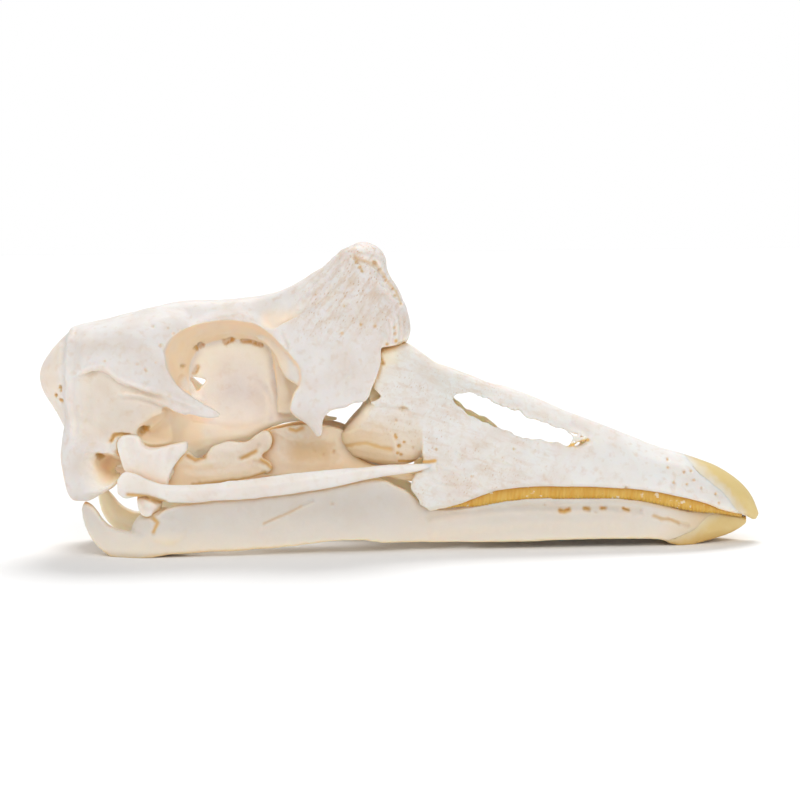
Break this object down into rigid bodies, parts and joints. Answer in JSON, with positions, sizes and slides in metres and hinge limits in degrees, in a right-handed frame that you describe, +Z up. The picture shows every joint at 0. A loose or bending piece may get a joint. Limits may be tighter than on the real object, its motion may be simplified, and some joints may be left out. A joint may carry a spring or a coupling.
{
  "type": "chinese goose skull",
  "caption": "Dry skull of a knob-billed domestic goose, with cranium, bill, lower jaw and horny nails as separate bones resting together.",
  "frame": {"origin": "middle of the footprint, on the surface the lower jaw rests on", "axes": "+X towards the tip of the bill, +Y towards the bird's left, +Z up"},
  "size_m": [0.1606, 0.0392, 0.0676],
  "materials": {
    "bone": "dry bleached bone, matt, off-white",
    "inner_bone": "dry bone, matt, cream",
    "horn": "dry yellow horn, satin",
    "lamella": "dry amber horn, satin"
  },
  "bodies": {
    "root": {"cranium": "bone", "upper_bill": "bone", "bill_nail": "horn", "mandible": "bone", "mandible_nail": "horn", "bill_lamellae_left": "lamella", "bill_lamellae_right": "lamella", "quadrate_left": "inner_bone", "quadrate_right": "inner_bone", "pterygoid_left": "inner_bone", "pterygoid_right": "inner_bone", "palatine_left": "inner_bone", "palatine_right": "inner_bone", "jugal_bar_left": "bone", "jugal_bar_right": "bone"}
  },
  "joints": []
}
